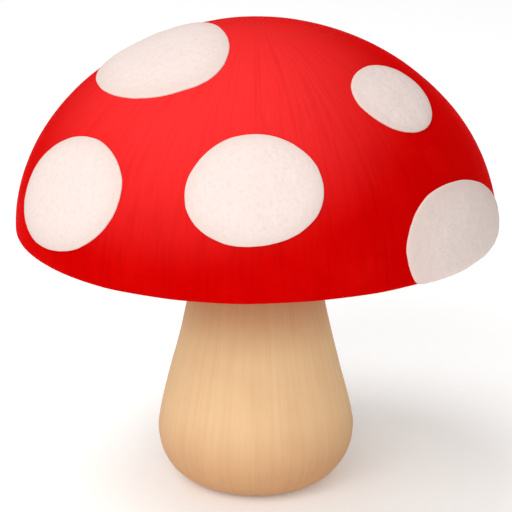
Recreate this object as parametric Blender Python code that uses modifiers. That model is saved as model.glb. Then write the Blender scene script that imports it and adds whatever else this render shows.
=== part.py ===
"""A fly agaric mushroom as picked, standing on the flattened foot of its own bulb.

The stem with its bulb, the cap's flesh and skin, the ring of gills under it and each patch of
the torn veil on top are separate solids. Metres, +Z up, origin at the middle of the foot; the
front of the mushroom faces -Y. An azimuth is measured from the front towards +X.
"""

import math

import bmesh
import bpy
from mathutils import Matrix, Vector

MM = 0.001

# Cap: a dome that meets a rounded margin at its widest line, the rim. A turn down from the
# crown, in degrees, gives a place on the dome, and RIM_TURN is the rim.
CAP_RADIUS = 50.0 * MM
CAP_RISE = 42.0 * MM
RIM_HEIGHT = 57.4 * MM
DOME_POWER = 1.93
MARGIN_RADIUS = 2.0 * MM
RIM_TURN = 90.0
CAP_STEPS = 72
SKIN_ROWS = 16
MARGIN_ROWS = 6

# Flesh: the hollow under it, and the socket that the top of the stem grows into.
HOLLOW_RADIUS = CAP_RADIUS - 2 * MARGIN_RADIUS
HOLLOW_RISE = 28.0 * MM
HOLLOW_ROWS = 9
SOCKET_DEPTH = 4.0 * MM
SOCKET_LAND = 1.5 * MM

# Stem: foot, bulb and neck.
FOOT_RADIUS = 10.0 * MM
BULB_RADIUS = 20.8 * MM
BULB_HEIGHT = 11.8 * MM
NECK_RADIUS = 13.8 * MM
NECK_HEIGHT = 45.0 * MM
BULB_PULL = 4.9 * MM
NECK_PULL = 8.3 * MM
NECK_FLARE = 0.35 * MM
STEM_STEPS = 48
FLANK_ROWS = 11
BULB_ROWS = 7

# Gills: blades that hang from a thin roof and stop short of the stem.
GILL_COUNT = 48
GILL_INNER_RADIUS = 16.0 * MM
GILL_OUTER_RADIUS = 44.4 * MM
GILL_ROOF = 1.2 * MM
GILL_ROOT_WIDTH = 1.2 * MM
GILL_EDGE_WIDTH = 0.6 * MM
GILL_EDGE_DROP = -0.5 * MM
GILL_EDGE_RISE = 15.0 * MM
GILL_EDGE_POWER = 1.15
GILL_EDGE_ROWS = 7
GILL_ROOF_ROWS = 5

# Veil patches: thin ovals that lie on the dome.
PATCH_THICKNESS = 0.7 * MM
PATCH_EDGE_SHARE = 0.45
PATCH_SEGMENTS = 24
PATCH_INSETS = 3
PATCH_TUCK = 1.3 * MM
PATCH_LIFT = 15.0 * MM

# Two solids that touch keep this gap, and points closer than the weld are one.
GAP = 0.3 * MM
WELD = 0.01 * MM

# name: azimuth and turn down from the crown (degrees), half length, half width, twist (degrees)
PATCHES = {
    "patch_front": (-0.5, 61.5, 13.3 * MM, 11.15 * MM, 6.9),
    "patch_left": (-54.5, 69.7, 15.85 * MM, 11.65 * MM, 12.6),
    "patch_upper_left": (-75.1, 25.3, 21.25 * MM, 13.6 * MM, 1.7),
    "patch_upper_right": (57.7, 41.5, 11.0 * MM, 8.75 * MM, 5.0),
    "patch_right_margin": (65.1, RIM_TURN, 25.4 * MM, 13.15 * MM, -19.9),
    "patch_back_right": (128.0, 59.0, 12.5 * MM, 10.5 * MM, -12),
    "patch_back_right_margin": (156.0, RIM_TURN, 14.5 * MM, 11.0 * MM, 10),
    "patch_back_middle": (178.0, 52.0, 14.5 * MM, 11.0 * MM, 6),
    "patch_back_left": (-136.0, 62.0, 13.5 * MM, 11.5 * MM, -8),
    "patch_back_left_margin": (-112.0, RIM_TURN, 12.5 * MM, 9.0 * MM, 6),
    "patch_back_upper": (-158.0, 32.0, 7.5 * MM, 6.0 * MM, 20),
}


def clear_scene():
    for obj in list(bpy.data.objects):
        bpy.data.objects.remove(obj)


def material(name, colour, roughness):
    """A matt or satin Principled BSDF; colour is linear RGB."""
    made = bpy.data.materials.new(name)
    made.use_nodes = True
    shader = made.node_tree.nodes["Principled BSDF"]
    shader.inputs["Base Color"].default_value = (*colour, 1.0)
    shader.inputs["Roughness"].default_value = roughness
    shader.inputs["Metallic"].default_value = 0.0
    return made


def add_object(name, mesh, surface, collection):
    mesh.materials.append(surface)
    obj = bpy.data.objects.new(name, mesh)
    collection.objects.link(obj)
    return obj


def arch(radius, half_width, rise):
    """Height above the rim of a dome of this half width and rise, at a radius from its axis."""
    share = min(radius / half_width, 1.0) ** DOME_POWER
    return rise * (1.0 - share) ** (1.0 / DOME_POWER)


def arch_point(half_width, rise, turn):
    """The point (radius, height above the rim) of a dome at a turn down from its crown."""
    across = max(math.sin(math.radians(turn)), 0.0) ** (2.0 / DOME_POWER)
    up = max(math.cos(math.radians(turn)), 0.0) ** (2.0 / DOME_POWER)
    return half_width * across, rise * up


def arch_points(half_width, rise, start, end, rows):
    """Points along a dome from one turn to another."""
    turns = [start + (end - start) * step / rows for step in range(rows + 1)]
    return [arch_point(half_width, rise, turn) for turn in turns]


def turn_at_radius(radius, half_width):
    """The turn down from the crown, in degrees, at which a dome reaches a radius."""
    return math.degrees(math.asin((radius / half_width) ** (DOME_POWER / 2.0)))


def bezier(p0, p1, p2, p3, rows):
    """Points along a cubic curve, without its first one."""
    points = []
    for step in range(1, rows + 1):
        t = step / rows
        s = 1.0 - t
        weights = (s**3, 3 * s * s * t, 3 * s * t * t, t**3)
        corners = (p0, p1, p2, p3)
        points.append(tuple(sum(w * c[i] for w, c in zip(weights, corners)) for i in (0, 1)))
    return points


def turned_solid(name, profile, steps, surface, collection):
    """A closed solid turned about Z from a profile that starts and ends on the axis."""
    mesh = bpy.data.meshes.new(name)
    points = [(radius, 0.0, height) for radius, height in profile]
    mesh.from_pydata(points, [(i, i + 1) for i in range(len(points) - 1)], [])
    obj = add_object(name, mesh, surface, collection)
    screw = obj.modifiers.new("Turn", "SCREW")
    screw.steps = steps
    screw.render_steps = steps
    screw.use_merge_vertices = True
    screw.merge_threshold = WELD
    screw.use_smooth_shade = True
    return obj


def cap_profile():
    """Crown, down the skin, round the margin, up the hollow, and into the stem's socket."""
    skin = arch_points(CAP_RADIUS, CAP_RISE, 0.0, RIM_TURN, SKIN_ROWS)
    margin_centre = CAP_RADIUS - MARGIN_RADIUS
    margin = []
    for step in range(1, MARGIN_ROWS):
        turn = math.pi * step / MARGIN_ROWS
        reach = MARGIN_RADIUS * math.cos(turn)
        margin.append((margin_centre + reach, -MARGIN_RADIUS * math.sin(turn)))
    socket_radius = NECK_RADIUS + GAP
    land_radius = socket_radius + SOCKET_LAND
    inner_turn = turn_at_radius(land_radius, HOLLOW_RADIUS)
    hollow = arch_points(HOLLOW_RADIUS, HOLLOW_RISE, RIM_TURN, inner_turn, HOLLOW_ROWS)
    land_height = hollow[-1][1]
    socket = [
        (socket_radius, land_height),
        (socket_radius, land_height + SOCKET_DEPTH),
        (0.0, land_height + SOCKET_DEPTH),
    ]
    profile = skin + margin + hollow + socket
    return [(radius, RIM_HEIGHT + height) for radius, height in profile]


def stem_top():
    """Height of the stem's flat top, one gap below the roof of its socket."""
    land_radius = NECK_RADIUS + GAP + SOCKET_LAND
    return RIM_HEIGHT + arch(land_radius, HOLLOW_RADIUS, HOLLOW_RISE) + SOCKET_DEPTH - GAP


def stem_profile():
    """From the top of the neck down its flank, round the bulb, and to the middle of the foot."""
    flank = bezier(
        (NECK_RADIUS, NECK_HEIGHT),
        (NECK_RADIUS + NECK_FLARE, NECK_HEIGHT - NECK_PULL),
        (BULB_RADIUS, BULB_HEIGHT + BULB_PULL),
        (BULB_RADIUS, BULB_HEIGHT),
        FLANK_ROWS,
    )
    bulb = []
    for step in range(1, BULB_ROWS + 1):
        turn = math.pi / 2 * step / BULB_ROWS
        reach = (BULB_RADIUS - FOOT_RADIUS) * math.cos(turn)
        bulb.append((FOOT_RADIUS + reach, BULB_HEIGHT * (1.0 - math.sin(turn))))
    top = stem_top()
    neck = [(0.0, top), (NECK_RADIUS, top), (NECK_RADIUS, NECK_HEIGHT)]
    return neck + flank + bulb + [(0.0, 0.0)]


def gill_edge_height(radius):
    """Height above the rim of the gills' free edges."""
    share = (GILL_OUTER_RADIUS - radius) / (GILL_OUTER_RADIUS - GILL_INNER_RADIUS)
    return GILL_EDGE_DROP + GILL_EDGE_RISE * max(share, 0.0) ** GILL_EDGE_POWER


def gill_section():
    """Stations (radius, height at a blade, height between blades) of the ring's closed section."""
    roof_radius = HOLLOW_RADIUS - GAP
    roof_rise = HOLLOW_RISE - GAP
    root_radius = roof_radius - GILL_ROOF
    root_rise = roof_rise - GILL_ROOF
    span = GILL_OUTER_RADIUS - GILL_INNER_RADIUS
    below = []
    for step in range(GILL_EDGE_ROWS + 1):
        radius = GILL_INNER_RADIUS + span * math.cos(math.pi / 2 * step / GILL_EDGE_ROWS)
        below.append((radius, gill_edge_height(radius), arch(radius, root_radius, root_rise)))
    above = []
    for step in range(GILL_ROOF_ROWS + 1):
        radius = GILL_INNER_RADIUS + span * math.sin(math.pi / 2 * step / GILL_ROOF_ROWS)
        height = arch(radius, roof_radius, roof_rise)
        above.append((radius, height, height))
    return below + above


def gill_ring(surface, collection):
    """One ring of radial blades under a thin roof, wrapped round the stem from a flat grid."""
    section = gill_section()
    corners = (
        (-GILL_ROOT_WIDTH / 2, False),
        (-GILL_EDGE_WIDTH / 2, True),
        (GILL_EDGE_WIDTH / 2, True),
        (GILL_ROOT_WIDTH / 2, False),
    )
    columns = GILL_COUNT * len(corners)
    rows = len(section)
    grid = bmesh.new()
    bmesh.ops.create_grid(grid, x_segments=columns, y_segments=rows, size=0.5)
    for vertex in grid.verts:
        column = round((vertex.co.x + 0.5) * columns) % columns
        row = round((vertex.co.y + 0.5) * rows) % rows
        blade, corner = divmod(column, len(corners))
        offset, on_edge = corners[corner]
        radius, edge_height, root_height = section[row]
        angle = math.tau * blade / GILL_COUNT + offset / radius
        height = RIM_HEIGHT + (edge_height if on_edge else root_height)
        vertex.co = (radius * math.cos(angle), radius * math.sin(angle), height)
    bmesh.ops.remove_doubles(grid, verts=grid.verts, dist=WELD)
    bmesh.ops.recalc_face_normals(grid, faces=grid.faces)
    mesh = bpy.data.meshes.new("gills")
    grid.to_mesh(mesh)
    grid.free()
    return add_object("gills", mesh, surface, collection)


def dome_frame(azimuth, turn, twist):
    """Matrix at a point of the dome: X and Y along the skin, turned by the twist, and Z out of it."""
    around = math.radians(azimuth)
    radius, height = arch_point(CAP_RADIUS, CAP_RISE, turn)
    centre = Vector((radius * math.sin(around), -radius * math.cos(around), RIM_HEIGHT + height))
    slope_out = (radius / CAP_RADIUS) ** (DOME_POWER - 1.0) / CAP_RADIUS
    slope_up = (height / CAP_RISE) ** (DOME_POWER - 1.0) / CAP_RISE
    outward = Vector((math.sin(around) * slope_out, -math.cos(around) * slope_out, slope_up))
    outward.normalize()
    along = Vector((math.cos(around), math.sin(around), 0.0))
    uphill = outward.cross(along)
    axes = Matrix((along, uphill, outward)).transposed().to_4x4()
    spin = Matrix.Rotation(math.radians(twist), 4, "Z")
    return Matrix.Translation(centre) @ axes @ spin


def tuck_under_rim(disc, frame):
    """Squeeze the part of a flat disc that hangs below the rim, so that it ends on the margin."""
    down = frame.to_3x3().inverted() @ Vector((0.0, 0.0, -1.0))
    hanging = [vertex for vertex in disc.verts if vertex.co.dot(down) > 0.0]
    reach = max(vertex.co.dot(down) for vertex in hanging)
    for vertex in hanging:
        vertex.co -= down * vertex.co.dot(down) * (1.0 - PATCH_TUCK / reach)


def veil_patch(name, azimuth, turn, length, width, twist, cap, surface, collection):
    """An oval disc laid on the dome and thickened outwards, thinner at its edge."""
    frame = dome_frame(azimuth, turn, twist) @ Matrix.Translation((0.0, 0.0, PATCH_LIFT))
    disc = bmesh.new()
    bmesh.ops.create_circle(disc, cap_ends=True, segments=PATCH_SEGMENTS, radius=1.0)
    for _ in range(PATCH_INSETS):
        middle = max(disc.faces, key=lambda face: len(face.verts))
        step = 1.0 / (PATCH_INSETS + 1)
        bmesh.ops.inset_region(disc, faces=[middle], thickness=step, use_boundary=True)
    bmesh.ops.poke(disc, faces=[max(disc.faces, key=lambda face: len(face.verts))])
    bmesh.ops.scale(disc, vec=(length, width, 1.0), verts=disc.verts)
    if turn == RIM_TURN:
        tuck_under_rim(disc, frame)
    mesh = bpy.data.meshes.new(name)
    disc.verts.index_update()
    outline = [vertex.index for vertex in disc.verts if vertex.is_boundary]
    disc.to_mesh(mesh)
    disc.free()
    obj = add_object(name, mesh, surface, collection)
    obj.matrix_world = frame
    body = obj.vertex_groups.new(name="body")
    body.add([vertex.index for vertex in mesh.vertices], 1.0, "REPLACE")
    body.add(outline, PATCH_EDGE_SHARE, "REPLACE")
    lay = obj.modifiers.new("Lay on the dome", "SHRINKWRAP")
    lay.target = cap
    lay.wrap_method = "PROJECT"
    lay.wrap_mode = "ABOVE_SURFACE"
    lay.use_project_z = True
    lay.use_negative_direction = True
    lay.use_positive_direction = False
    lay.offset = GAP
    thicken = obj.modifiers.new("Thicken", "SOLIDIFY")
    thicken.thickness = PATCH_THICKNESS
    thicken.offset = 1.0
    thicken.vertex_group = body.name
    return obj


def main():
    clear_scene()
    mushroom = bpy.data.collections.new("fly_agaric")
    bpy.context.scene.collection.children.link(mushroom)
    skin = material("cap_skin", (0.75, 0.012, 0.010), 0.40)
    flesh = material("stem_flesh", (0.80, 0.55, 0.33), 0.70)
    lamellae = material("gill_tissue", (0.88, 0.76, 0.60), 0.75)
    felt = material("veil_felt", (0.94, 0.84, 0.80), 0.85)
    turned_solid("stem", stem_profile(), STEM_STEPS, flesh, mushroom)
    cap = turned_solid("cap", cap_profile(), CAP_STEPS, skin, mushroom)
    gill_ring(lamellae, mushroom)
    for name, place in PATCHES.items():
        veil_patch(name, *place, cap, felt, mushroom)


main()
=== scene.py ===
"""Fly agaric mushroom: a domed red cap with pale patches of torn veil, gills, and a stout stem.

An azimuth is measured from the front towards +X. Run as a script, the file makes the mushroom
and its stage; as an add-on, its panel makes them one by one.
"""

import math
import random

import bpy
from mathutils import Matrix, Vector


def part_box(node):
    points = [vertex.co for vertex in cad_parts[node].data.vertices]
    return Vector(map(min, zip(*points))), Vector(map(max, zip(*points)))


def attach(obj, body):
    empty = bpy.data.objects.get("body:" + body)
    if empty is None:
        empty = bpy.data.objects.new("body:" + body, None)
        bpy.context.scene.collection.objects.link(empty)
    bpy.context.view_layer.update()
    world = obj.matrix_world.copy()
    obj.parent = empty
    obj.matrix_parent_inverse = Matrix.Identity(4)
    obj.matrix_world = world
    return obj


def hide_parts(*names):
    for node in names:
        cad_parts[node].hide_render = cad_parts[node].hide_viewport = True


# The CAD model is loaded first, because the mushroom's main sizes are taken from it.
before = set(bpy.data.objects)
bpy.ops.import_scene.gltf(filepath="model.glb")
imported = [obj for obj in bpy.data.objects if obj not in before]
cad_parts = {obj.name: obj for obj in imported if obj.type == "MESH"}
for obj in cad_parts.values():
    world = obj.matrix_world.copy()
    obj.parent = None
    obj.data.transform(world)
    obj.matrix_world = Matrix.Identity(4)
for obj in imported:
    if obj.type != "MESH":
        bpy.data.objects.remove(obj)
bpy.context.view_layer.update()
CAP_LOW, CAP_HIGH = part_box("cap")
_, STEM_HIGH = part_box("stem")

bl_info = {
    "name": "Fly Agaric Mushroom",
    "version": (1, 0, 0),
    "blender": (4, 5, 0),
    "location": "3D View > Sidebar > Mushroom",
    "description": "Models a fly agaric mushroom and a plain studio round it",
    "category": "Add Mesh",
}

MM = 0.001

# Vertices of a turned shape that lie closer than this become one.
WELD = 0.002 * MM

# The cap's dome is an ellipse whose power is a little under 2, which draws its shoulder in.
DOME_POWER = 1.93
CAP_STEPS = 240
SKIN_ROWS = 72
MARGIN_ROWS = 20
HOLLOW_ROWS = 30
# The flat ring of flesh round the stem, the play round the stem in its socket, and that over it.
LAND_WIDTH = 1.8 * MM
SOCKET_PLAY = 0.4 * MM
SOCKET_HEADROOM = 0.2 * MM
# The skin gives way to flesh between these degrees round the margin; its lowest line is at 90.
SKIN_CURL = (95.0, 125.0)

STEM_STEPS = 200
NECK_ROWS = 24
FLANK_ROWS = 48
BULB_ROWS = 28
# The flank is a cubic curve. These are how far its two pulls reach down from the neck and up from
# the bulb, and how far the upper one leans out.
NECK_PULL = 8.3 * MM
BULB_PULL = 4.9 * MM
NECK_LEAN = 0.35 * MM
# A ring at this share of the foot's radius keeps the faces of the flat short.
FOOT_RING = 0.5
# The stem is even on its foot and inside the cap. Its unevenness grows between the first two
# heights over the ground, and dies out between the other two over the rim.
UNEVEN_FROM_FOOT = (0.2 * MM, 5.0 * MM)
UNEVEN_TO_CAP = (20.0 * MM, 26.0 * MM)

# Where the long gills start, clear of the stem.
LONG_GILL_INNER = 16.0 * MM
# name: how many, inner radius, depth at its inner end, shift round the ring in shares of a step
GILL_TIERS = {
    "gills_long": (72, LONG_GILL_INNER, 10.0 * MM, 0.0),
    "gills_middle": (72, 25.0 * MM, 0.5 * MM, 0.5),
    "gills_short": (144, 36.0 * MM, 0.5 * MM, 0.5),
}
BLADE_COLUMNS = 11
BLADE_ROWS = 2
# How far a gill is set into the flesh over it, and how far it ends short of the margin's flesh.
GILL_ROOT = 0.3 * MM
GILL_END_GAP = 0.6 * MM
# The gills' free edges hang this far under the rim at the margin, and rise in a soft curve to the
# stem. A gill reaches that curve at this distance from its inner end.
GILL_HANG = 0.5 * MM
GILL_EDGE_RISE = 15.0 * MM
GILL_EDGE_POWER = 1.15
GILL_TAPER = 7.0 * MM
# How far a gill strays from its place in the ring, in shares of a step.
GILL_STRAY = 0.10
GILL_SEED = 5

# A patch whose middle is at this turn lies on the margin, and rolls at most this far round it.
MARGIN_TURN = 90.0
MARGIN_WRAP = 2.8 * MM
# name: azimuth and turn down from the crown (degrees), half length, half width, twist (degrees),
# and how far its outline bulges three ways, as a share, and towards which bearing (degrees)
PATCHES = {
    "patch_front": (-0.5, 61.5, 13.3 * MM, 11.15 * MM, 6.9, 0.017, -30),
    "patch_left": (-54.5, 69.7, 15.85 * MM, 11.65 * MM, 12.6, 0.009, -46),
    "patch_upper_left": (-75.1, 25.3, 21.25 * MM, 13.6 * MM, 1.7, 0.040, 45),
    "patch_upper_right": (57.7, 41.5, 11.0 * MM, 8.75 * MM, 5.0, 0.033, 18),
    "patch_right_margin": (65.1, MARGIN_TURN, 25.4 * MM, 13.15 * MM, -19.9, 0.041, -11),
    "patch_back_right": (128.0, 59.0, 12.5 * MM, 10.5 * MM, -12, 0.020, 50),
    "patch_back_right_margin": (156.0, MARGIN_TURN, 14.5 * MM, 11.0 * MM, 10, 0.025, 10),
    "patch_back_middle": (178.0, 52.0, 14.5 * MM, 11.0 * MM, 6, 0.022, -20),
    "patch_back_left": (-136.0, 62.0, 13.5 * MM, 11.5 * MM, -8, 0.018, 35),
    "patch_back_left_margin": (-112.0, MARGIN_TURN, 12.5 * MM, 9.0 * MM, 6, 0.025, -15),
    "patch_back_upper": (-158.0, 32.0, 7.5 * MM, 6.0 * MM, 20, 0.030, 0),
}
PAD_CUTS = 47
# A pad is a flattened ball: the lower this power, the squarer its shoulder.
PAD_SHOULDER = 0.45
# How far the middle of a pad's underside sinks into the skin.
PAD_SINK = 0.10 * MM
# Pads are dropped onto the cap from this far over it.
PAD_LIFT = 15.0 * MM
# A pad's outline has each of these numbers of waves round it. The more there are, the lower
# they are: this share of its reach, divided by their number.
OUTLINE_WAVES = (5, 8, 13, 21, 34)
OUTLINE_WAVER = 0.016
# Shares of a patch's thickness between which the look of its thin edge, darker from the skin
# through it and from painted shade where it meets the skin, gives way to felt, and between which
# its unevenness begins.
EDGE_SHADE = (0.55, 0.95)
UNEVEN_TOP = (0.15, 0.80)

# The unevenness of each surface, coarse before fine: the width of the pattern's grain, how far it
# moves the surface, and how much it is drawn out upwards.
SKIN_UNEVEN = ((26.0 * MM, 0.25 * MM, 1.0), (7.0 * MM, 0.04 * MM, 1.0))
STEM_UNEVEN = ((14.0 * MM, 0.30 * MM, 1.6), (1.6 * MM, 0.10 * MM, 14.0))
VEIL_UNEVEN = ((3.5 * MM, 0.12 * MM, 1.0), (1.1 * MM, 0.06 * MM, 1.0))


# Sizes and colours --------------------------------------------------------------------------


def linear(hex_code):
    """Linear RGB of an sRGB hex colour."""
    shares = [int(hex_code[i : i + 2], 16) / 255 for i in (1, 3, 5)]
    return [s / 12.92 if s <= 0.04045 else ((s + 0.055) / 1.055) ** 2.4 for s in shares]


def length(name, description, default):
    return bpy.props.FloatProperty(
        name=name, description=description, default=default, subtype="DISTANCE", unit="LENGTH"
    )


def colour(name, description, hex_code):
    return bpy.props.FloatVectorProperty(
        name=name,
        description=description,
        default=linear(hex_code),
        subtype="COLOR",
        size=3,
        min=0.0,
        max=1.0,
    )


class MushroomSizes(bpy.types.PropertyGroup):
    cap_radius: length("Cap radius", "From the axis to the rim", (CAP_HIGH[0] - CAP_LOW[0]) / 2)
    cap_top: length("Cap top", "Height of the crown", CAP_HIGH[2])
    cap_bottom: length("Cap bottom", "Height of the margin's underside", CAP_LOW[2])
    margin_radius: length("Margin radius", "Half the thickness of the cap's margin", 2.0 * MM)
    hollow_rise: length("Hollow rise", "From the rim to the top of the hollow", 28.0 * MM)
    bulb_radius: length("Bulb radius", "Widest half of the stem", STEM_HIGH[0])
    bulb_height: length("Bulb height", "Height of the bulb's widest line", 11.8 * MM)
    foot_radius: length("Foot radius", "Half the flat that the mushroom stands on", 10.0 * MM)
    neck_radius: length("Neck radius", "Half the stem's thickness under the cap", 13.8 * MM)
    neck_height: length("Neck height", "Height at which the neck runs straight", 45.0 * MM)
    stem_top: length("Stem top", "Height of the stem's end inside the cap", STEM_HIGH[2])
    patch_thickness: length("Patch thickness", "Height of a veil patch over the skin", 0.65 * MM)
    gill_thickness: length("Gill thickness", "Thickness of one gill", 0.4 * MM)


class MushroomColours(bpy.types.PropertyGroup):
    # Painted light and shade on the cap: the paler skin on the side that the lamps light, and the
    # deep skin towards the margin and the back.
    skin: colour("Skin", "The paler cuticle, towards the front of the crown", "#e62f2f")
    skin_painted_shade: colour("Deep skin", "The cuticle towards the margin and on the back", "#bf0101")
    skin_fibril: colour("Skin fibril", "Tint of the darker fibrils in the cuticle", "#d24a4a")
    skin_warm: colour("Warm skin", "The lighter, warmer clouds in the cuticle", "#e81c10")
    skin_sheen: colour("Skin sheen", "Sheen of the cuticle where it is seen edge on", "#ff0000")
    flesh: colour("Flesh", "The cap's flesh, seen between the gills", "#f0dfc0")
    veil: colour("Veil", "The veil patches", "#e2d2cc")
    # Painted shade in the patches' pits and at their edges, where the thin veil also shows the
    # skin.
    veil_pit_and_edge_shade: colour("Veil edge", "The pits and thin edges of the patches", "#d2bcb2")
    stem: colour("Stem", "The stem's surface", "#e7c093")
    stem_fibre: colour("Stem fibre", "The darker fibres of the stem", "#d3a175")
    stem_pale: colour("Pale stem", "The paler, drier fibres of the stem", "#f1cda2")
    # Painted shade: this tint darkens and reddens the neck under the cap, where its shadow falls.
    stem_neck_shade: colour("Stem neck", "Tint of the redder, moister neck under the gills", "#d3aaa2")
    # Painted shade: this tint darkens the bulb towards the foot, where it turns away from the
    # lamps.
    stem_foot_shade: colour("Stem foot", "Tint of the duller skin round the foot", "#dfcdc4")
    soil: colour("Soil", "Soil stain on the flat of the foot", "#a98561")
    gill: colour("Gill", "The gills", "#f2e3c8")
    gill_deep: colour("Deep gill", "The grain of the gills", "#d9c09a")
    paper: colour("Paper", "The studio floor", "#fafafa")


# Modelling tools -----------------------------------------------------------------------------


def deselect_all():
    bpy.ops.object.select_all(action="DESELECT")


def select_only(piece):
    deselect_all()
    bpy.context.view_layer.objects.active = piece
    piece.select_set(True)


def turn_profile(name, points, steps):
    """A closed shape turned about Z: one point is extruded down the profile and spun."""
    deselect_all()
    bpy.ops.mesh.primitive_plane_add(size=MM, location=(0.0, 0.0, 0.0))
    piece = bpy.context.object
    piece.name = name
    bpy.ops.object.mode_set(mode="EDIT")
    bpy.ops.mesh.select_all(action="SELECT")
    bpy.ops.mesh.merge(type="CENTER")
    bpy.ops.transform.translate(value=(points[0][0], 0.0, points[0][1]))
    for (radius, height), (next_radius, next_height) in zip(points, points[1:]):
        step = (next_radius - radius, 0.0, next_height - height)
        bpy.ops.mesh.extrude_region_move(TRANSFORM_OT_translate={"value": step})
    bpy.ops.mesh.select_all(action="SELECT")
    bpy.ops.mesh.spin(steps=steps, angle=math.tau, center=(0.0, 0.0, 0.0), axis=(0.0, 0.0, 1.0))
    bpy.ops.mesh.select_all(action="SELECT")
    bpy.ops.mesh.remove_doubles(threshold=WELD)
    bpy.ops.mesh.normals_make_consistent(inside=False)
    bpy.ops.object.mode_set(mode="OBJECT")
    return piece


def weigh(piece, weight_of):
    """A vertex group whose weights are worked out from each vertex's place."""
    group = piece.vertex_groups.new(name="weights")
    for vertex in piece.data.vertices:
        group.add([vertex.index], weight_of(vertex.co), "REPLACE")
    return group.name


def displace(piece, group, layers):
    """Raise and sink the surface by cloud patterns, as far as the group's weights let it."""
    for grain, height, stretch in layers:
        bpy.ops.object.empty_add(location=(0.0, 0.0, 0.0))
        guide = bpy.context.object
        guide.scale = (grain, grain, grain * stretch)
        bpy.context.view_layer.update()
        clouds = bpy.data.textures.new("clouds", "CLOUDS")
        clouds.noise_scale = 1.0
        select_only(piece)
        modifier = piece.modifiers.new("Displace", "DISPLACE")
        modifier.texture = clouds
        modifier.texture_coords = "OBJECT"
        modifier.texture_coords_object = guide
        # The pattern runs from 0 to 1, so a point moves by at most the height, out or in.
        modifier.strength = 2.0 * height
        modifier.mid_level = 0.5
        modifier.vertex_group = group
        bpy.ops.object.modifier_apply(modifier=modifier.name)
        bpy.data.textures.remove(clouds)
        bpy.data.objects.remove(guide)
    piece.vertex_groups.clear()


def mark(piece, name, value_of):
    """A named value on every vertex, for the material to read."""
    attribute = piece.data.attributes.new(name, "FLOAT", "POINT")
    for vertex, held in zip(piece.data.vertices, attribute.data):
        held.value = value_of(vertex.co)


def finish_piece(piece, nodes, surface):
    """Smooth shading, the material, and what the piece is in the frame."""
    select_only(piece)
    bpy.ops.object.shade_smooth()
    piece.data.materials.clear()
    piece.data.materials.append(surface)
    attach(piece, "root")
    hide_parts(*nodes)


def ease(value, start, end):
    """0 before start, 1 after end, and smooth between them."""
    share = min(max((value - start) / (end - start), 0.0), 1.0)
    return share * share * (3.0 - 2.0 * share)


# The dome ------------------------------------------------------------------------------------


def arch_point(half_width, rise, turn):
    """The point (radius, height above the rim) of a dome at a turn down from its crown."""
    across = max(math.sin(turn), 0.0) ** (2.0 / DOME_POWER)
    up = max(math.cos(turn), 0.0) ** (2.0 / DOME_POWER)
    return half_width * across, rise * up


def arch(radius, half_width, rise):
    """Height above the rim of a dome at a radius from its axis."""
    share = min(radius / half_width, 1.0) ** DOME_POWER
    return rise * (1.0 - share) ** (1.0 / DOME_POWER)


def rim_height(sizes):
    return sizes.cap_bottom + sizes.margin_radius


def hollow_radius(sizes):
    return sizes.cap_radius - 2.0 * sizes.margin_radius


def dome_frame(sizes, azimuth, turn, twist):
    """Matrix at a point of the dome: X and Y along the skin, Z out of it."""
    around = math.radians(azimuth)
    rise = sizes.cap_top - rim_height(sizes)
    radius, height = arch_point(sizes.cap_radius, rise, math.radians(turn))
    centre = Vector((radius * math.sin(around), -radius * math.cos(around), height))
    centre.z += rim_height(sizes)
    slope_out = (radius / sizes.cap_radius) ** (DOME_POWER - 1.0) / sizes.cap_radius
    slope_up = (height / rise) ** (DOME_POWER - 1.0) / rise
    outward = Vector((math.sin(around) * slope_out, -math.cos(around) * slope_out, slope_up))
    outward.normalize()
    along = Vector((math.cos(around), math.sin(around), 0.0))
    axes = Matrix((along, outward.cross(along), outward)).transposed().to_4x4()
    spin = Matrix.Rotation(math.radians(twist), 4, "Z")
    return Matrix.Translation(centre) @ axes @ spin


# Materials -----------------------------------------------------------------------------------

# The sockets of a Mix node that blends colours, where several share one name.
SHARE, FIRST, SECOND, BLEND = 0, 6, 7, 2

# Fibres that run down a turned surface: the radius at which their width is true, and how much of
# the height counts, so that they are long.
CAP_LINES = (40.0 * MM, 0.10)
STEM_LINES = (16.0 * MM, 0.022)

# Painted light and shade on the cap's skin: the way that the lamps light it from. The further out
# that way a point lies, the paler it is painted: painted-shade deep red up to the second distance,
# painted-light pale past the first.
PAINTED_LIGHT_SIDE = (-0.20, -0.43, 0.88)
PAINTED_LIGHT_PAST = 95.7 * MM
PAINTED_SHADE_UP_TO = 75.3 * MM

# The heights at which a tint of the stem starts, and is full: the painted shade under the cap and
# towards the foot, and the soil stain.
NECK_SHADE = (30.0 * MM, 46.0 * MM)
FOOT_SHADE = (20.0 * MM, 6.0 * MM)
SOIL_STAIN = (0.8 * MM, 0.1 * MM)


def add_node(tree, kind, inputs=None, **settings):
    """Add a shader node; an input takes a value, a socket, or a node for its first output."""
    made = tree.nodes.new("ShaderNode" + kind)
    for name, value in settings.items():
        setattr(made, name, value)
    for name, value in (inputs or {}).items():
        socket = made.inputs[name]
        if isinstance(value, bpy.types.Node):
            tree.links.new(value.outputs[0], socket)
        elif isinstance(value, bpy.types.NodeSocket):
            tree.links.new(value, socket)
        elif socket.type == "RGBA":
            socket.default_value = (*value[:3], 1.0)
        else:
            socket.default_value = value
    return made


def new_material(name):
    """An empty material, its node tree, and the place of each point in the frame."""
    made = bpy.data.materials.new(name)
    made.use_nodes = True
    made.node_tree.nodes.clear()
    place = add_node(made.node_tree, "TexCoord").outputs["Object"]
    return made, made.node_tree, place


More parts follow.
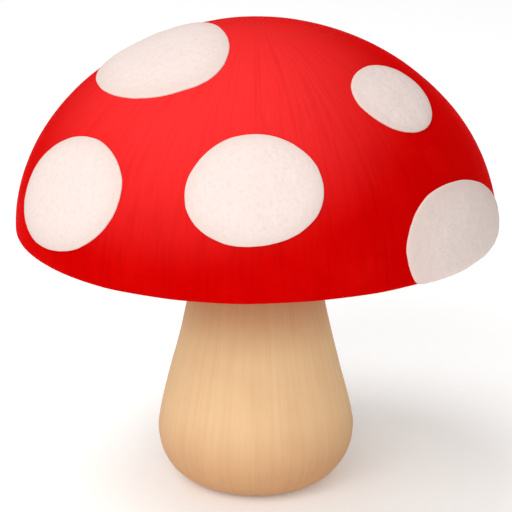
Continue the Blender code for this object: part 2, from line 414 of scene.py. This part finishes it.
def lines_along_profile(tree, place, reach, squash):
    """Coordinates for fibres that run down a turned surface: its bearing and a squashed height."""
    flat = add_node(tree, "VectorMath", {0: place, 1: (1.0, 1.0, 0.0)}, operation="MULTIPLY")
    bearing = add_node(tree, "VectorMath", {0: flat}, operation="NORMALIZE")
    around = add_node(tree, "VectorMath", {0: bearing, "Scale": reach}, operation="SCALE")
    drop = add_node(tree, "VectorMath", {0: place, 1: (0.0, 0.0, squash)}, operation="MULTIPLY")
    return add_node(tree, "VectorMath", {0: around, 1: drop}, operation="ADD")


def cap_cuticle(colours):
    """Fly agaric cuticle, grown, smooth and nearly dry: an even matt red with soft clouds and with
    fine fibrils that run down from the crown. Painted light makes it paler on the front-left side
    that the lamps light, and painted shade makes it deep red towards the margin and on the back.
    Seen edge on, the fibrils give it a red sheen. They are finer in life, and drawn as wide as they
    need to show."""
    fibril_width = 0.9 * MM
    cloud_width = 11.0 * MM
    pore_width = 0.6 * MM
    made, tree, place = new_material("fly_agaric_cuticle")
    downhill = lines_along_profile(tree, place, *CAP_LINES)
    fibrils = add_node(
        tree, "TexNoise", {"Vector": downhill, "Scale": 1 / fibril_width, "Detail": 4.0}
    )
    clouds = add_node(tree, "TexNoise", {"Vector": place, "Scale": 1 / cloud_width, "Detail": 3.0})
    pores = add_node(tree, "TexNoise", {"Vector": place, "Scale": 1 / pore_width, "Detail": 2.0})
    # Painted light and shade: paler towards the lit upper front-left, deep red away from it.
    outward = add_node(tree, "VectorMath", {0: place, 1: PAINTED_LIGHT_SIDE}, operation="DOT_PRODUCT")
    deep = add_node(
        tree,
        "MapRange",
        {"Value": outward.outputs["Value"], "From Min": PAINTED_LIGHT_PAST, "From Max": PAINTED_SHADE_UP_TO},
        interpolation_type="SMOOTHSTEP",
    )
    cloudy = add_node(
        tree, "MapRange", {"Value": clouds, "From Min": 0.45, "From Max": 0.75, "To Max": 0.15}
    )
    streaks = add_node(
        tree, "MapRange", {"Value": fibrils, "From Min": 0.45, "From Max": 0.80, "To Max": 0.30}
    )
    skin = colours.skin
    for share, tint, blend in (
        (deep, colours.skin_painted_shade, "MIX"),
        (cloudy, colours.skin_warm, "MIX"),
        (streaks, colours.skin_fibril, "MULTIPLY"),
    ):
        skin = add_node(
            tree,
            "Mix",
            {SHARE: share, FIRST: skin, SECOND: tint},
            data_type="RGBA",
            blend_type=blend,
        ).outputs[BLEND]
    cover = add_node(tree, "Attribute", attribute_name="skin").outputs["Fac"]
    base = add_node(
        tree, "Mix", {SHARE: cover, FIRST: colours.flesh, SECOND: skin}, data_type="RGBA"
    ).outputs[BLEND]
    dullness = add_node(
        tree,
        "MapRange",
        {"Value": clouds, "From Min": 0.3, "From Max": 0.7, "To Min": 0.44, "To Max": 0.54},
    )
    relief = add_node(tree, "Bump", {"Distance": 0.04 * MM, "Height": fibrils})
    relief = add_node(tree, "Bump", {"Distance": 0.03 * MM, "Height": pores, "Normal": relief})
    shader = add_node(
        tree,
        "BsdfPrincipled",
        {
            "Base Color": base,
            "Roughness": dullness,
            "IOR": 1.4,
            "Specular IOR Level": 0.002,
            "Sheen Weight": 0.35,
            "Sheen Roughness": 0.5,
            "Sheen Tint": colours.skin_sheen,
            "Normal": relief,
        },
    )
    add_node(tree, "OutputMaterial", {"Surface": shader})
    return made


def veil_felt(colours):
    """Dried universal veil, torn as the cap grew: a dull felted crust of short matted fibres,
    soft and off-white. Painted shade darkens its pits, and its edge is darker where it thins over
    the red skin and, as painted shade, where it meets the skin. The felt is finer in life, and
    drawn as coarse as it needs to show."""
    felt_width = 0.8 * MM
    lump_width = 4.5 * MM
    made, tree, place = new_material("veil_felt")
    felt = add_node(
        tree,
        "TexNoise",
        {
            "Vector": place,
            "Scale": 1 / felt_width,
            "Detail": 5.0,
            "Roughness": 0.65,
            "Distortion": 0.6,
        },
    )
    lumps = add_node(tree, "TexNoise", {"Vector": place, "Scale": 1 / lump_width, "Detail": 2.0})
    # Painted shade in the felt's pits, where its bump is lowest.
    pit_shade = add_node(
        tree, "MapRange", {"Value": felt, "From Min": 0.52, "From Max": 0.30, "To Max": 0.45}
    )
    edge = add_node(tree, "Attribute", attribute_name="edge").outputs["Fac"]
    # Darker edge: the thin veil over the skin, and painted shade where the pad meets the skin.
    thin_edge_shade = add_node(tree, "MapRange", {"Value": edge, "To Max": 0.5})
    base = colours.veil
    for share in (pit_shade, thin_edge_shade):
        base = add_node(
            tree, "Mix", {SHARE: share, FIRST: base, SECOND: colours.veil_pit_and_edge_shade}, data_type="RGBA"
        ).outputs[BLEND]
    relief = add_node(tree, "Bump", {"Distance": 0.15 * MM, "Height": lumps})
    relief = add_node(tree, "Bump", {"Distance": 0.06 * MM, "Height": felt, "Normal": relief})
    shader = add_node(
        tree,
        "BsdfPrincipled",
        {
            "Base Color": base,
            "Roughness": 0.9,
            "IOR": 1.4,
            "Specular IOR Level": 0.15,
            "Normal": relief,
        },
    )
    add_node(tree, "OutputMaterial", {"Surface": shader})
    return made


def stem_fibre_flesh(colours):
    """Fly agaric stem, dry outside: long silky fibres run up the tan surface, some darker and
    some paler, with a soil stain on the flat of the foot. Painted shade darkens and reddens the
    neck under the cap and darkens the bulb towards the foot. The fibres are finer in life, and
    drawn as wide as they need to show."""
    fibre_width = 0.8 * MM
    strand_width = 3.2 * MM
    cloud_width = 16.0 * MM
    made, tree, place = new_material("stem_fibre_flesh")
    upright = lines_along_profile(tree, place, *STEM_LINES)
    fibres = add_node(
        tree,
        "TexNoise",
        {"Vector": upright, "Scale": 1 / fibre_width, "Detail": 5.0, "Roughness": 0.6},
    )
    strands = add_node(
        tree, "TexNoise", {"Vector": upright, "Scale": 1 / strand_width, "Detail": 2.0}
    )
    clouds = add_node(tree, "TexNoise", {"Vector": place, "Scale": 1 / cloud_width, "Detail": 3.0})
    pale = add_node(
        tree, "MapRange", {"Value": strands, "From Min": 0.45, "From Max": 0.80, "To Max": 0.36}
    )
    dark = add_node(
        tree, "MapRange", {"Value": fibres, "From Min": 0.46, "From Max": 0.80, "To Max": 0.36}
    )
    dull = add_node(
        tree, "MapRange", {"Value": clouds, "From Min": 0.50, "From Max": 0.75, "To Max": 0.25}
    )
    base = colours.stem
    for share, tint in (
        (pale, colours.stem_pale),
        (dark, colours.stem_fibre),
        (dull, colours.stem_fibre),
    ):
        base = add_node(
            tree, "Mix", {SHARE: share, FIRST: base, SECOND: tint}, data_type="RGBA"
        ).outputs[BLEND]
    height = add_node(tree, "SeparateXYZ", {"Vector": place}).outputs["Z"]
    # Painted shade on the neck under the cap and on the bulb towards the foot, then the soil stain.
    for (start, full), most, tint, change, blend in (
        (NECK_SHADE, 0.95, colours.stem_neck_shade, "SMOOTHSTEP", "MULTIPLY"),
        (FOOT_SHADE, 0.8, colours.stem_foot_shade, "SMOOTHSTEP", "MULTIPLY"),
        (SOIL_STAIN, 0.8, colours.soil, "LINEAR", "MIX"),
    ):
        share = add_node(
            tree,
            "MapRange",
            {"Value": height, "From Min": start, "From Max": full, "To Max": most},
            interpolation_type=change,
        )
        base = add_node(
            tree,
            "Mix",
            {SHARE: share, FIRST: base, SECOND: tint},
            data_type="RGBA",
            blend_type=blend,
        ).outputs[BLEND]
    relief = add_node(tree, "Bump", {"Distance": 0.08 * MM, "Height": strands})
    relief = add_node(tree, "Bump", {"Distance": 0.06 * MM, "Height": fibres, "Normal": relief})
    shader = add_node(
        tree,
        "BsdfPrincipled",
        {
            "Base Color": base,
            "Roughness": 0.7,
            "IOR": 1.4,
            "Specular IOR Level": 0.2,
            "Normal": relief,
        },
    )
    add_node(tree, "OutputMaterial", {"Surface": shader})
    return made


def gill_tissue(colours):
    """Fly agaric gills, thin and brittle: matt cream blades with a fine grain, which is finer
    still in life and drawn as coarse as it needs to show."""
    grain_width = 1.2 * MM
    made, tree, place = new_material("gill_tissue")
    grain = add_node(tree, "TexNoise", {"Vector": place, "Scale": 1 / grain_width, "Detail": 3.0})
    deep = add_node(
        tree, "MapRange", {"Value": grain, "From Min": 0.35, "From Max": 0.75, "To Max": 0.4}
    )
    base = add_node(
        tree, "Mix", {SHARE: deep, FIRST: colours.gill, SECOND: colours.gill_deep}, data_type="RGBA"
    ).outputs[BLEND]
    relief = add_node(tree, "Bump", {"Distance": 0.05 * MM, "Height": grain})
    shader = add_node(
        tree,
        "BsdfPrincipled",
        {"Base Color": base, "Roughness": 0.75, "IOR": 1.4, "Normal": relief},
    )
    add_node(tree, "OutputMaterial", {"Surface": shader})
    return made


def studio_paper(colours):
    """White background paper, uncoated: even, without gloss, and a little lit of itself. Its
    tooth is finer in life, and drawn as coarse as it needs to show."""
    tooth_width = 3.0 * MM
    made, tree, place = new_material("studio_paper")
    tooth = add_node(tree, "TexNoise", {"Vector": place, "Scale": 1 / tooth_width, "Detail": 3.0})
    relief = add_node(tree, "Bump", {"Distance": 0.02 * MM, "Height": tooth})
    shader = add_node(
        tree,
        "BsdfPrincipled",
        {
            "Base Color": colours.paper,
            "Roughness": 0.9,
            "Specular IOR Level": 0.1,
            "Normal": relief,
            "Emission Color": colours.paper,
            "Emission Strength": 0.16,
        },
    )
    add_node(tree, "OutputMaterial", {"Surface": shader})
    return made


# Pieces --------------------------------------------------------------------------------------


def cap_profile(sizes):
    """Crown, down the skin, round the margin, up the hollow, and into the stem's socket."""
    rim = rim_height(sizes)
    rise = sizes.cap_top - rim
    quarter = math.pi / 2
    points = [
        arch_point(sizes.cap_radius, rise, quarter * row / SKIN_ROWS)
        for row in range(SKIN_ROWS + 1)
    ]
    margin_centre = sizes.cap_radius - sizes.margin_radius
    for row in range(1, MARGIN_ROWS):
        turn = math.pi * row / MARGIN_ROWS
        reach = sizes.margin_radius * math.cos(turn)
        points.append((margin_centre + reach, -sizes.margin_radius * math.sin(turn)))
    inner = hollow_radius(sizes)
    land = sizes.neck_radius + LAND_WIDTH
    end_turn = math.asin((land / inner) ** (DOME_POWER / 2.0))
    for row in range(HOLLOW_ROWS + 1):
        turn = quarter + (end_turn - quarter) * row / HOLLOW_ROWS
        points.append(arch_point(inner, sizes.hollow_rise, turn))
    top = sizes.stem_top + SOCKET_HEADROOM - rim
    socket = sizes.neck_radius + SOCKET_PLAY
    points += [(socket, points[-1][1]), (socket, top), (0.0, top)]
    return [(radius, rim + height) for radius, height in points]


class MUSHROOM_OT_cap(bpy.types.Operator):
    """Model the cap: domed flesh with its red skin, turned about the axis and gently uneven"""

    bl_idname = "mushroom.cap"
    bl_label = "Cap"

    def execute(self, context):
        sizes = context.scene.mushroom_sizes
        colours = context.scene.mushroom_colours
        cap = turn_profile("cap_flesh_and_skin", cap_profile(sizes), CAP_STEPS)
        rim = rim_height(sizes)
        rise = sizes.cap_top - rim
        inner = hollow_radius(sizes)
        margin_centre = sizes.cap_radius - sizes.margin_radius
        curl_start, curl_end = (math.radians(angle) for angle in SKIN_CURL)

        def outside(co):
            """1 on the skin, 0 on the flesh, and between them where the skin curls under."""
            radius = math.hypot(co.x, co.y)
            height = co.z - rim
            if radius > inner and height < 0.0:
                curl = math.atan2(-height, radius - margin_centre)
                return 1.0 - ease(curl, curl_start, curl_end)
            skin_height = arch(radius, sizes.cap_radius, rise)
            hollow_height = arch(radius, inner, sizes.hollow_rise)
            middle = (skin_height + hollow_height) / 2
            return 1.0 if height > middle or radius > inner else 0.0

        mark(cap, "skin", outside)
        displace(cap, weigh(cap, outside), SKIN_UNEVEN)
        finish_piece(cap, ["cap"], cap_cuticle(colours))
        return {"FINISHED"}


def bezier(corners, share):
    """A point on a cubic curve."""
    rest = 1.0 - share
    weights = (rest**3, 3 * rest * rest * share, 3 * rest * share * share, share**3)
    return tuple(sum(w * corner[i] for w, corner in zip(weights, corners)) for i in (0, 1))


def stem_profile(sizes):
    """From the top of the neck down its flank, round the bulb, and to the middle of the foot."""
    neck_drop = sizes.stem_top - sizes.neck_height
    points = [(0.0, sizes.stem_top)]
    for row in range(NECK_ROWS):
        points.append((sizes.neck_radius, sizes.stem_top - neck_drop * row / NECK_ROWS))
    corners = (
        (sizes.neck_radius, sizes.neck_height),
        (sizes.neck_radius + NECK_LEAN, sizes.neck_height - NECK_PULL),
        (sizes.bulb_radius, sizes.bulb_height + BULB_PULL),
        (sizes.bulb_radius, sizes.bulb_height),
    )
    points += [bezier(corners, row / FLANK_ROWS) for row in range(FLANK_ROWS)]
    spread = sizes.bulb_radius - sizes.foot_radius
    for row in range(BULB_ROWS + 1):
        turn = math.pi / 2 * row / BULB_ROWS
        height = sizes.bulb_height * (1.0 - math.sin(turn))
        points.append((sizes.foot_radius + spread * math.cos(turn), height))
    return points + [(sizes.foot_radius * FOOT_RING, 0.0), (0.0, 0.0)]


class MUSHROOM_OT_stem(bpy.types.Operator):
    """Model the stem: neck, swelling flank and bulb, with the ridges of its fibres"""

    bl_idname = "mushroom.stem"
    bl_label = "Stem"

    def execute(self, context):
        sizes = context.scene.mushroom_sizes
        stem = turn_profile("stem_with_bulb", stem_profile(sizes), STEM_STEPS)
        fade_start, fade_end = (rim_height(sizes) + height for height in UNEVEN_TO_CAP)

        def free(co):
            """1 on the open stem, 0 on the foot and where the stem enters the cap."""
            return ease(co.z, *UNEVEN_FROM_FOOT) * (1.0 - ease(co.z, fade_start, fade_end))

        displace(stem, weigh(stem, free), STEM_UNEVEN)
        finish_piece(stem, ["stem"], stem_fibre_flesh(context.scene.mushroom_colours))
        return {"FINISHED"}


def gill_blade(sizes, inner, inner_depth):
    """One upright blade in the XZ plane, from its inner end out to the margin."""
    deselect_all()
    bpy.ops.mesh.primitive_grid_add(
        x_subdivisions=BLADE_COLUMNS, y_subdivisions=BLADE_ROWS, size=2.0, location=(0.0, 0.0, 0.0)
    )
    blade = bpy.context.object
    rim = rim_height(sizes)
    roof = hollow_radius(sizes)
    outer = roof - GILL_END_GAP
    for vertex in blade.data.vertices:
        along = (vertex.co.x + 1.0) / 2
        down = (1.0 - vertex.co.y) / 2
        radius = inner + (outer - inner) * math.sin(along * math.pi / 2)
        top = arch(radius, roof, sizes.hollow_rise) + GILL_ROOT
        inward = max((outer - radius) / (outer - LONG_GILL_INNER), 0.0)
        free_edge = GILL_EDGE_RISE * inward**GILL_EDGE_POWER - GILL_HANG
        taper = ease(radius, inner, inner + GILL_TAPER)
        depth = inner_depth + (top - free_edge - inner_depth) * taper
        vertex.co = (radius, 0.0, rim + top - depth * down)
    solidify = blade.modifiers.new("Solidify", "SOLIDIFY")
    solidify.thickness = sizes.gill_thickness
    solidify.offset = 0.0
    bpy.ops.object.modifier_apply(modifier=solidify.name)
    return blade


class MUSHROOM_OT_gills(bpy.types.Operator):
    """Model the gills: full blades from stem to margin with shorter ones between them"""

    bl_idname = "mushroom.gills"
    bl_label = "Gills"

    def execute(self, context):
        sizes = context.scene.mushroom_sizes
        surface = gill_tissue(context.scene.mushroom_colours)
        chance = random.Random(GILL_SEED)
        for name, (count, inner, inner_depth, shift) in GILL_TIERS.items():
            blade = gill_blade(sizes, inner, inner_depth)
            copies = [blade]
            for _ in range(count - 1):
                copy = blade.copy()
                copy.data = blade.data.copy()
                context.collection.objects.link(copy)
                copies.append(copy)
            deselect_all()
            for index, copy in enumerate(copies):
                step = math.tau / count
                angle = step * (index + shift + chance.uniform(-GILL_STRAY, GILL_STRAY))
                copy.data.transform(Matrix.Rotation(angle, 4, "Z"))
                copy.select_set(True)
            context.view_layer.objects.active = blade
            bpy.ops.object.join()
            blade.name = name
            finish_piece(blade, ["gills"], surface)
        return {"FINISHED"}


def patch_pad(half_length, half_width, bulge, bearing, thickness, seed):
    """A flat-topped pad round the origin: a ball of quads, flattened, with an uneven outline."""
    deselect_all()
    bpy.ops.mesh.primitive_cube_add(size=2.0, location=(0.0, 0.0, 0.0))
    pad = bpy.context.object
    bpy.ops.object.mode_set(mode="EDIT")
    bpy.ops.mesh.select_all(action="SELECT")
    bpy.ops.mesh.subdivide(number_cuts=PAD_CUTS)
    bpy.ops.object.mode_set(mode="OBJECT")
    cast = pad.modifiers.new("Cast", "CAST")
    cast.cast_type = "SPHERE"
    cast.factor = 1.0
    cast.use_radius_as_size = False
    cast.size = 1.0
    bpy.ops.object.modifier_apply(modifier=cast.name)
    chance = random.Random(seed)
    waves = [
        (count, chance.uniform(0, math.tau), OUTLINE_WAVER / count) for count in OUTLINE_WAVES
    ]
    waves.append((3, math.radians(90 - 3 * bearing), bulge))
    for vertex in pad.data.vertices:
        x, y, z = vertex.co
        angle = math.atan2(y, x)
        reach = 1.0 + sum(size * math.sin(count * angle + phase) for count, phase, size in waves)
        height = abs(z) ** PAD_SHOULDER
        vertex.co = (x * reach * half_length, y * reach * half_width, thickness * height)
        if z <= 0.0:
            vertex.co.z = -PAD_SINK * height
    return pad


def lay_on_cap(pad, place, cap, sizes, wraps):
    """Bend a flat pad onto the cap: each point drops onto the skin and keeps its height above it.
    What would hang below the rim is rolled round the margin instead."""
    inward = place.to_3x3() @ Vector((0.0, 0.0, -1.0))
    down = place.to_3x3().inverted() @ Vector((0.0, 0.0, -1.0))
    for vertex in pad.data.vertices:
        flat = Vector((vertex.co.x, vertex.co.y, 0.0))
        drop = max(flat.dot(down), 0.0) if wraps else 0.0
        start = place @ (flat - down * drop + Vector((0.0, 0.0, PAD_LIFT)))
        hit, point, normal, _ = cap.ray_cast(start, inward)
        if hit and drop > 0.0:
            turn = MARGIN_WRAP / sizes.margin_radius * (1.0 - math.exp(-drop / MARGIN_WRAP))
            outward = Vector((point.x, point.y, 0.0)).normalized()
            middle = outward * (sizes.cap_radius - sizes.margin_radius)
            middle.z = rim_height(sizes)
            away = outward * math.cos(turn) - Vector((0.0, 0.0, math.sin(turn)))
            hit, point, normal, _ = cap.ray_cast(middle + away * PAD_LIFT, -away)
        if not hit:
            raise RuntimeError(f"{pad.name} reaches past the cap")
        vertex.co = point + normal * vertex.co.z


class MUSHROOM_OT_patches(bpy.types.Operator):
    """Model the veil patches: thin felted pads that lie on the cap's skin"""

    bl_idname = "mushroom.patches"
    bl_label = "Veil patches"

    def execute(self, context):
        sizes = context.scene.mushroom_sizes
        surface = veil_felt(context.scene.mushroom_colours)
        cap = bpy.data.objects["cap_flesh_and_skin"]
        for seed, (name, values) in enumerate(PATCHES.items()):
            azimuth, turn, half_length, half_width, twist, bulge, bearing = values
            place = dome_frame(sizes, azimuth, turn, twist)
            pad = patch_pad(half_length, half_width, bulge, bearing, sizes.patch_thickness, seed)
            pad.name = "veil_" + name
            full = sizes.patch_thickness
            mark(pad, "edge", lambda co: 1.0 - ease(co.z / full, *EDGE_SHADE))
            top = weigh(pad, lambda co: ease(co.z / full, *UNEVEN_TOP))
            lay_on_cap(pad, place, cap, sizes, turn == MARGIN_TURN)
            displace(pad, top, VEIL_UNEVEN)
            finish_piece(pad, [name], surface)
        return {"FINISHED"}


# Stage ---------------------------------------------------------------------------------------


def aim(thing, target):
    """Turn a light or the camera so that it looks at a point."""
    direction = Vector(target) - thing.location
    thing.rotation_euler = direction.to_track_quat("-Z", "Y").to_euler()


def place_at(azimuth, elevation, distance, target):
    """A point at a distance from the target, by azimuth from the front and elevation."""
    around, up = math.radians(azimuth), math.radians(elevation)
    outward = Vector(
        (math.sin(around) * math.cos(up), -math.cos(around) * math.cos(up), math.sin(up))
    )
    return Vector(target) + outward * distance


# name: azimuth and elevation (degrees), distance and width of the lamp (metres), watts
LAMPS = {
    "key": (-27.0, 37.0, 1.0, 0.6, 3.3),
    "front_fill": (0.0, 24.0, 1.2, 0.5, 2.3),
    "overhead": (-90.0, 72.0, 1.2, 0.8, 5.8),
}
SKY = 0.52
FLOOR_RADIUS = 4.0
FLOOR_STEPS = 96
# The floor lies this far under the foot, so that the two faces don't meet.
FLOOR_GAP = 0.05 * MM
CAMERA_ELEVATION = 18.0
CAMERA_DISTANCE = 0.5369
# The share of the mushroom's height at which the lamps and the camera look.
AIM_SHARE = 0.4962


class MUSHROOM_OT_stage(bpy.types.Operator):
    """Make the plain studio: white floor, soft lamps from the left and the front, the camera"""

    bl_idname = "mushroom.stage"
    bl_label = "Studio"

    def execute(self, context):
        scene = context.scene
        middle = (0.0, 0.0, scene.mushroom_sizes.cap_top * AIM_SHARE)
        deselect_all()
        bpy.ops.mesh.primitive_circle_add(
            vertices=FLOOR_STEPS,
            radius=FLOOR_RADIUS,
            fill_type="NGON",
            location=(0.0, 0.0, -FLOOR_GAP),
        )
        floor = context.object
        floor.name = "studio_floor"
        floor.data.materials.append(studio_paper(scene.mushroom_colours))
        for name, (azimuth, elevation, distance, width, watts) in LAMPS.items():
            spot = place_at(azimuth, elevation, distance, middle)
            bpy.ops.object.light_add(type="AREA", location=spot)
            lamp = context.object
            lamp.name = name
            lamp.data.shape = "DISK"
            lamp.data.size = width
            lamp.data.energy = watts
            aim(lamp, middle)
        world = bpy.data.worlds.new("studio")
        world.use_nodes = True
        backdrop = world.node_tree.nodes["Background"]
        backdrop.inputs["Color"].default_value = (1.0, 1.0, 1.0, 1.0)
        backdrop.inputs["Strength"].default_value = SKY
        scene.world = world
        viewpoint = place_at(0.0, CAMERA_ELEVATION, CAMERA_DISTANCE, middle)
        bpy.ops.object.camera_add(location=viewpoint)
        camera = context.object
        camera.data.lens = 180.0
        camera.data.sensor_width = 36.0
        camera.data.clip_start = 0.01
        aim(camera, middle)
        scene.camera = camera
        scene.view_settings.view_transform = "Standard"
        return {"FINISHED"}


class MUSHROOM_PT_panel(bpy.types.Panel):
    """Buttons for the pieces, and their sizes and colours"""

    bl_idname = "MUSHROOM_PT_panel"
    bl_label = "Mushroom"
    bl_space_type = "VIEW_3D"
    bl_region_type = "UI"
    bl_category = "Mushroom"

    def draw(self, context):
        for maker in OPERATORS:
            self.layout.operator(maker.bl_idname)
        for settings in (context.scene.mushroom_sizes, context.scene.mushroom_colours):
            for name in settings.__annotations__:
                self.layout.prop(settings, name)


OPERATORS = (
    MUSHROOM_OT_cap,
    MUSHROOM_OT_stem,
    MUSHROOM_OT_gills,
    MUSHROOM_OT_patches,
    MUSHROOM_OT_stage,
)
CLASSES = (MushroomSizes, MushroomColours, *OPERATORS, MUSHROOM_PT_panel)


def register():
    for made in CLASSES:
        bpy.utils.register_class(made)
    bpy.types.Scene.mushroom_sizes = bpy.props.PointerProperty(type=MushroomSizes)
    bpy.types.Scene.mushroom_colours = bpy.props.PointerProperty(type=MushroomColours)


def unregister():
    del bpy.types.Scene.mushroom_colours
    del bpy.types.Scene.mushroom_sizes
    for made in reversed(CLASSES):
        bpy.utils.unregister_class(made)


def main():
    register()
    bpy.ops.mushroom.cap()
    bpy.ops.mushroom.stem()
    bpy.ops.mushroom.gills()
    bpy.ops.mushroom.patches()
    bpy.ops.mushroom.stage()


if __name__ == "__main__":
    main()
